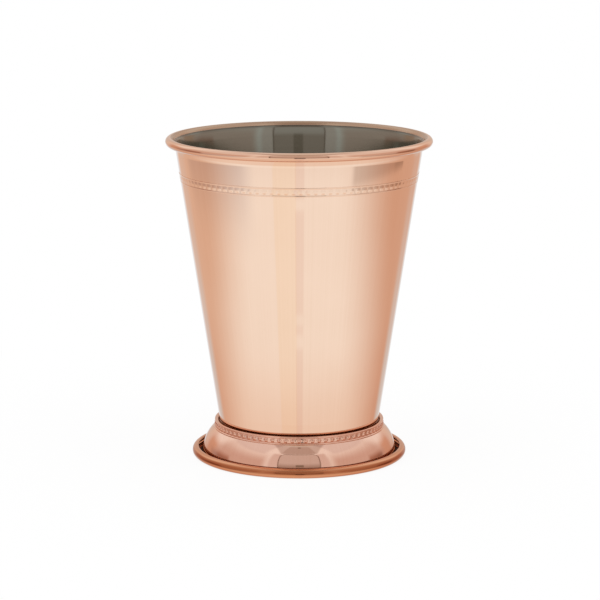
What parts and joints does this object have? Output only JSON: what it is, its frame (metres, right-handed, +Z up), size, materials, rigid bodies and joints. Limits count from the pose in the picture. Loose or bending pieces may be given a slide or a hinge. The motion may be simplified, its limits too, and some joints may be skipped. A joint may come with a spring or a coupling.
{
  "type": "julep cup",
  "caption": "Tapered copper drinking cup with steel lining, rolled rim, beaded band near the mouth, and beaded collar on a domed foot with rolled edge.",
  "frame": {"origin": "centre of the circle that the foot stands on, on the table", "axes": "+Z up along the cup's axis, +X and +Y level"},
  "size_m": [0.089, 0.089, 0.1083],
  "materials": {
    "polished_copper": "pale copper, polished",
    "brushed_steel_lining": "stainless steel, brushed round the cup",
    "band_copper": "pale copper, stamped and polished",
    "foot_copper": "pale copper, spun and polished",
    "collar_copper": "copper, stamped, darker between the beads",
    "braze": "braze, as run"
  },
  "bodies": {
    "root": {"cup_shell": "polished_copper", "steel_lining": "brushed_steel_lining", "upper_bead_band": "band_copper", "foot_ring": "foot_copper", "foot_bead_band": "collar_copper", "braze_seam": "braze"}
  },
  "joints": []
}
